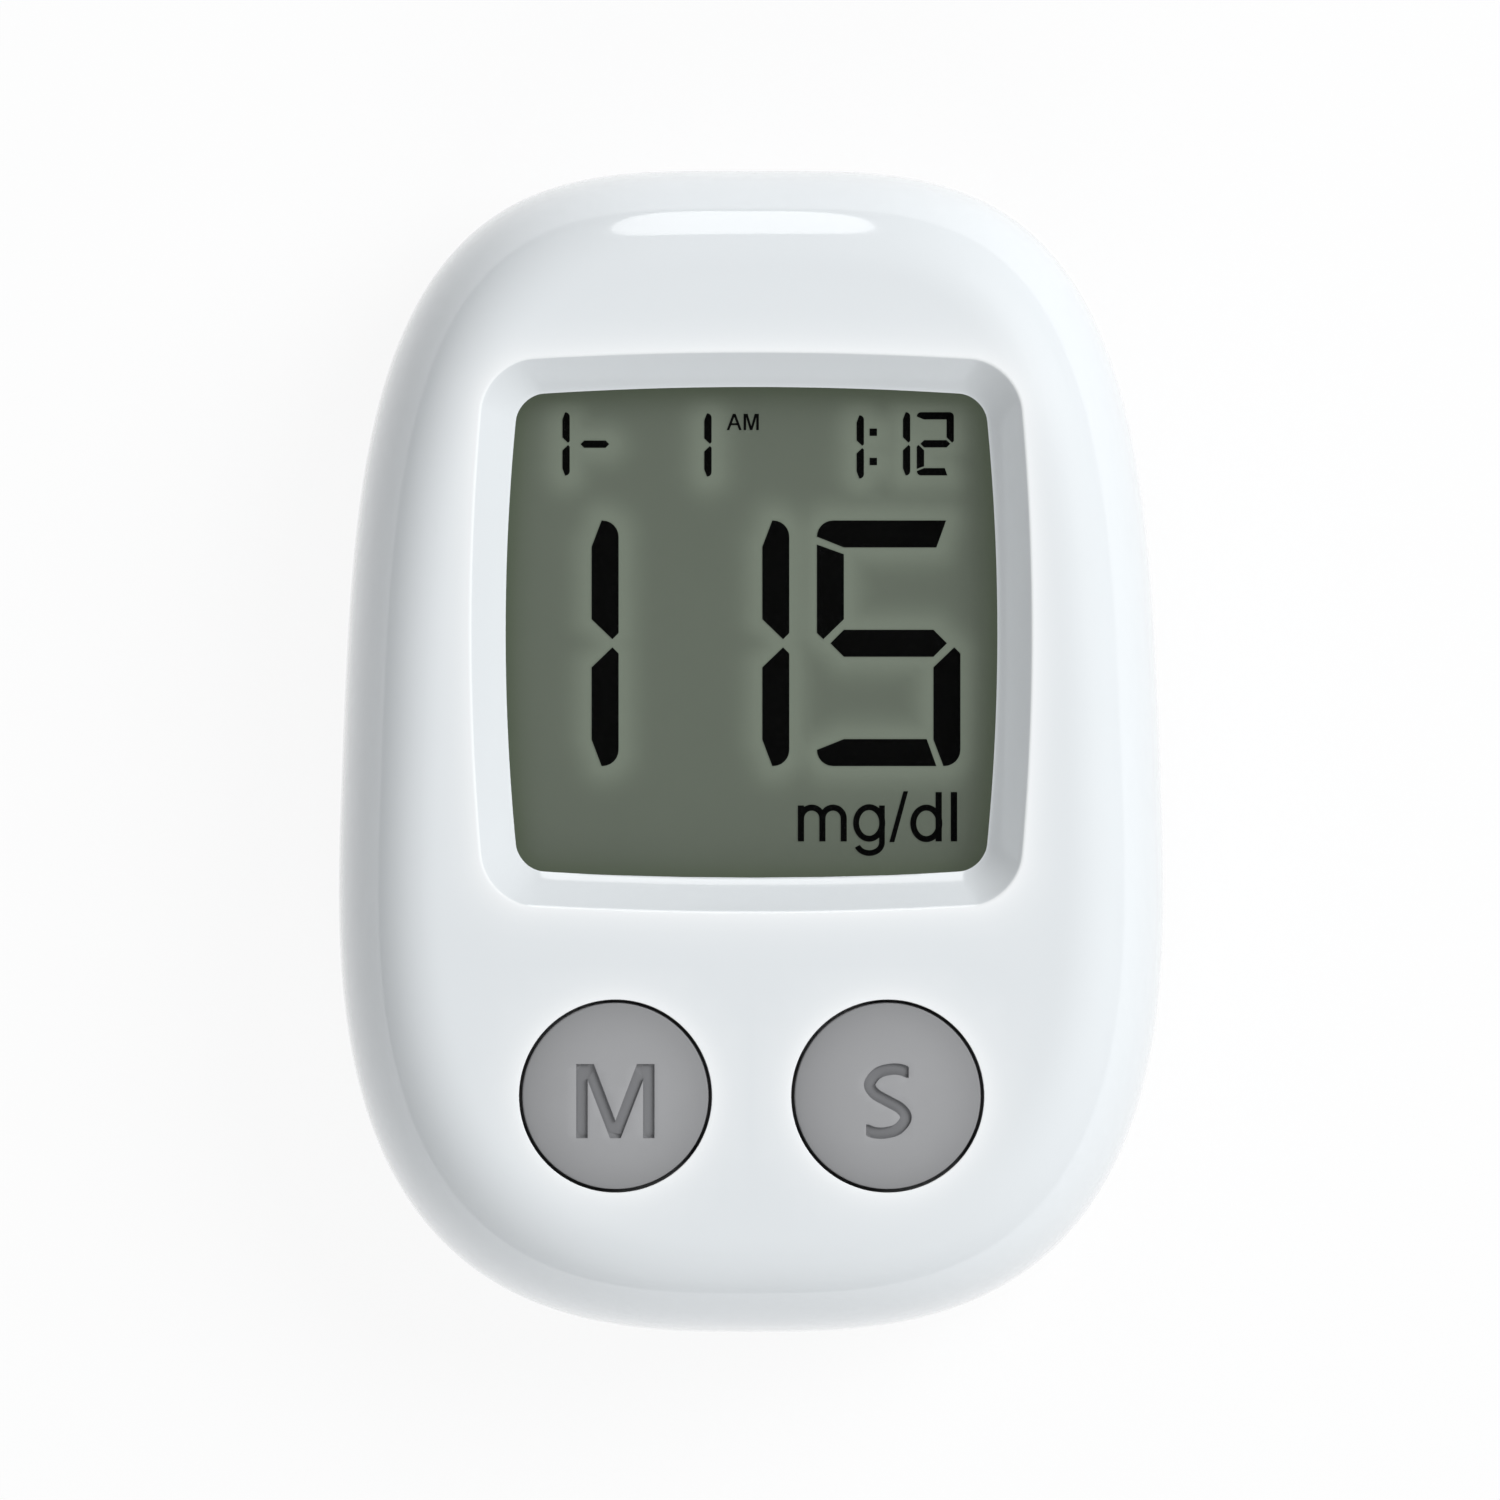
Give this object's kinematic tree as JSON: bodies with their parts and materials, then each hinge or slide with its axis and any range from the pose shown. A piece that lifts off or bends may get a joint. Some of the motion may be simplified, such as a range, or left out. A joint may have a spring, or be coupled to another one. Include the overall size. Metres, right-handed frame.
{
  "type": "blood glucose meter",
  "caption": "Handheld blood glucose meter: pebble case with a sunk square display, round push buttons, a test strip port and a battery door.",
  "frame": {"origin": "middle of the flat back, in the plane that the meter lies on", "axes": "+Z out of the display face, +Y towards the display end, +X to the right of someone reading the display"},
  "size_m": [0.0582, 0.0819, 0.0224],
  "materials": {
    "case_white": "polished moulding, soft gloss",
    "button_grey": "fine satin grain",
    "window_clear": "clear polished acrylic",
    "display_glass": "clear thin glass",
    "polariser_film": "smooth grey-green film",
    "reflector_film": "matt grey-green film",
    "segment_black": "flat black",
    "seal_epoxy": "cured epoxy",
    "frame_plastic": "matt moulding",
    "zebra_rubber": "striped silicone",
    "mat_rubber": "matt silicone",
    "carbon_pill": "carbon-filled silicone",
    "tape_black": "foam tape",
    "board_green": "solder mask",
    "screw_steel": "zinc plated",
    "chip_black": "moulded epoxy",
    "can_metal": "drawn can",
    "sounder_black": "matt moulding",
    "chip_ceramic": "fired ceramic",
    "connector_ivory": "matt moulding",
    "contact_gold": "gold plated",
    "port_grey": "fine satin grain",
    "cell_sleeve": "plain printed sleeve",
    "contact_nickel": "nickel plated"
  },
  "bodies": {
    "case": {"front_cover": "case_white", "rear_cover": "case_white", "display_window": "window_clear", "window_tape": "tape_black", "front_polariser": "polariser_film", "display_front_glass": "display_glass", "display_segments": "segment_black", "display_seal": "seal_epoxy", "display_rear_glass": "display_glass", "rear_reflector": "reflector_film", "display_holder": "frame_plastic", "zebra_connector": "zebra_rubber", "keypad_mat": "mat_rubber", "circuit_board": "board_green", "board_screws": "screw_steel", "microcontroller": "chip_black", "crystal": "can_metal", "buzzer": "sounder_black", "chip_components": "chip_ceramic", "strip_connector": "connector_ivory", "strip_contacts": "contact_gold", "port_insert": "port_grey", "battery_left": "cell_sleeve", "battery_right": "cell_sleeve", "positive_contact": "contact_nickel", "negative_contact": "contact_nickel", "bridge_contact": "contact_nickel", "case_screws": "screw_steel"},
    "memory_key": {"memory_button": "button_grey", "memory_contact_pill": "carbon_pill"},
    "set_key": {"set_button": "button_grey", "set_contact_pill": "carbon_pill"},
    "door": {"battery_door": "case_white"}
  },
  "joints": [
    {"name": "memory_press", "type": "slide", "parent": "case", "child": "memory_key", "axis": [0, 0, -1], "range_m": [0, 0.0008], "stiffness_N_per_m": 1000, "springref_m": -0.0003, "deforming": ["keypad_mat"]},
    {"name": "set_press", "type": "slide", "parent": "case", "child": "set_key", "axis": [0, 0, -1], "range_m": [0, 0.0008], "stiffness_N_per_m": 1000, "springref_m": -0.0003, "deforming": ["keypad_mat"]},
    {"name": "door_hinge", "type": "hinge", "parent": "case", "child": "door", "pos_m": [0, 0.0266, 0.0008], "axis": [1, 0, 0], "range_deg": [0, 60]}
  ]
}
